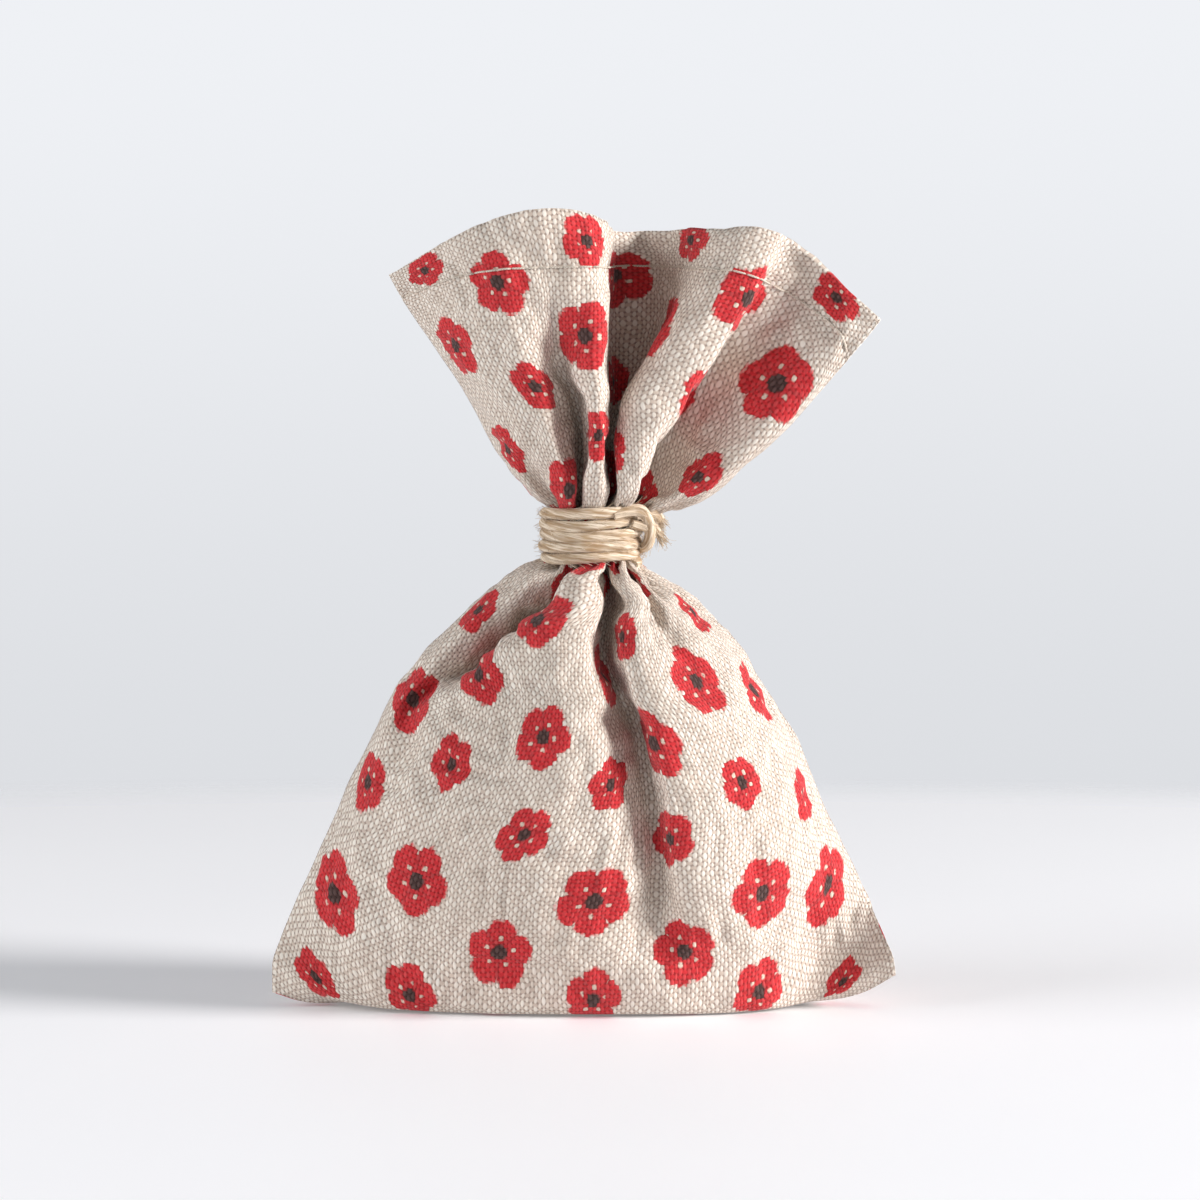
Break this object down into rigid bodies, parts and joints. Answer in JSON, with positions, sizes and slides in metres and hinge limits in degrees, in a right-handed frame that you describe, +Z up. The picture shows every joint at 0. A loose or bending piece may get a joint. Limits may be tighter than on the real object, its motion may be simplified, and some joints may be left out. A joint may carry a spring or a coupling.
{
  "type": "fabric pouch",
  "caption": "Filled canvas pouch sewn from two panels, gathered and tied at the neck with wound twine, its hemmed open top spreading as a pleated head above the tie.",
  "frame": {"origin": "on the floor under the middle of the sack", "axes": "+Z up, -Y towards the front with the pleat, +X to the right seen from the front"},
  "size_m": [0.106, 0.0513, 0.138],
  "materials": {
    "canvas": "plain-woven oatmeal canvas with a scattered red blossom print",
    "filling": "loose dry flower buds",
    "thread": "off-white sewing thread",
    "twine": "twisted natural jute twine"
  },
  "bodies": {
    "sack": {"front_panel_sack": "canvas", "back_panel_sack": "canvas", "dry_filling": "filling", "left_seam_thread": "thread", "right_seam_thread": "thread", "bottom_seam_thread": "thread", "neck_gathers": "canvas", "twine_winding": "twine", "twine_knot": "twine", "throat_gathers": "canvas"},
    "head": {"front_panel_head": "canvas", "back_panel_head": "canvas", "front_hem_thread": "thread", "back_hem_thread": "thread", "left_head_seam_thread": "thread", "right_head_seam_thread": "thread"}
  },
  "joints": [
    {"name": "head_bend", "type": "hinge", "parent": "sack", "child": "head", "pos_m": [0, 0, 0.0885], "axis": [1, 0, 0], "range_deg": [-30, 30], "stiffness_Nm_per_rad": 0.02, "deforming": ["throat_gathers"]}
  ]
}
